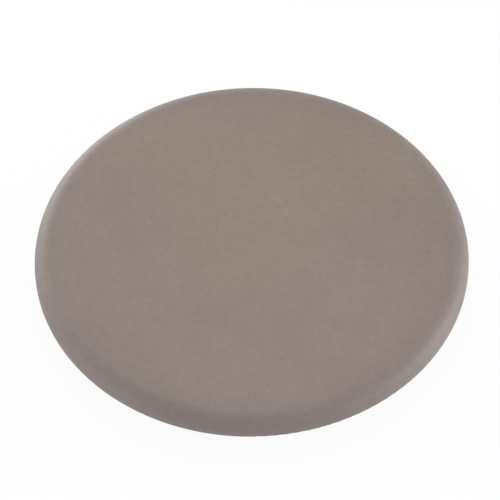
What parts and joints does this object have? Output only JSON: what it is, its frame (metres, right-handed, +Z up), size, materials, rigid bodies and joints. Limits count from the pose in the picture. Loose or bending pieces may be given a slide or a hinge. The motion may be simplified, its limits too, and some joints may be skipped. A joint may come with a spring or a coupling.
{
  "type": "manhole cover",
  "caption": "Round blank-topped composite manhole cover with a rounded rim, a spigot that locates it in the opening, a sealed flange and a steel-stiffened rib web underneath.",
  "frame": {"origin": "centre of the spigot's foot, the lowest level of the cover, on the cover's axis", "axes": "+Z up through the blank top, along the cover's axis; one stiffener bar lies along +X"},
  "size_m": [0.68, 0.68, 0.072],
  "materials": {
    "deck_moulding": "satin, fine-grained taupe moulding compound",
    "frame_moulding": "charcoal glass-filled moulding compound",
    "butyl_tape": "matt black jointing tape",
    "seal_rubber": "extruded black rubber",
    "washer_rubber": "bonded black rubber",
    "galvanised_steel": "hot-dip galvanised, spangled",
    "stainless_steel": "plain stainless",
    "brass": "turned brass",
    "foam": "closed-cell foam"
  },
  "bodies": {
    "root": {"deck_shell": "deck_moulding", "flange_plate": "frame_moulding", "rib_grid": "frame_moulding", "joint_tape": "butyl_tape", "seal_ring": "seal_rubber", "hub_plate": "galvanised_steel", "hub_washer": "stainless_steel", "hub_bolt": "stainless_steel", "hub_insert": "brass", "deck_inserts": "brass", "deck_screws": "stainless_steel", "screw_washers": "washer_rubber", "core_pad_1": "foam", "core_pad_2": "foam", "core_pad_3": "foam", "core_pad_4": "foam", "core_pad_5": "foam", "core_pad_6": "foam", "stiffener_bar_1": "galvanised_steel", "stiffener_bar_2": "galvanised_steel", "stiffener_bar_3": "galvanised_steel", "stiffener_bar_4": "galvanised_steel", "stiffener_bar_5": "galvanised_steel", "stiffener_bar_6": "galvanised_steel"}
  },
  "joints": []
}
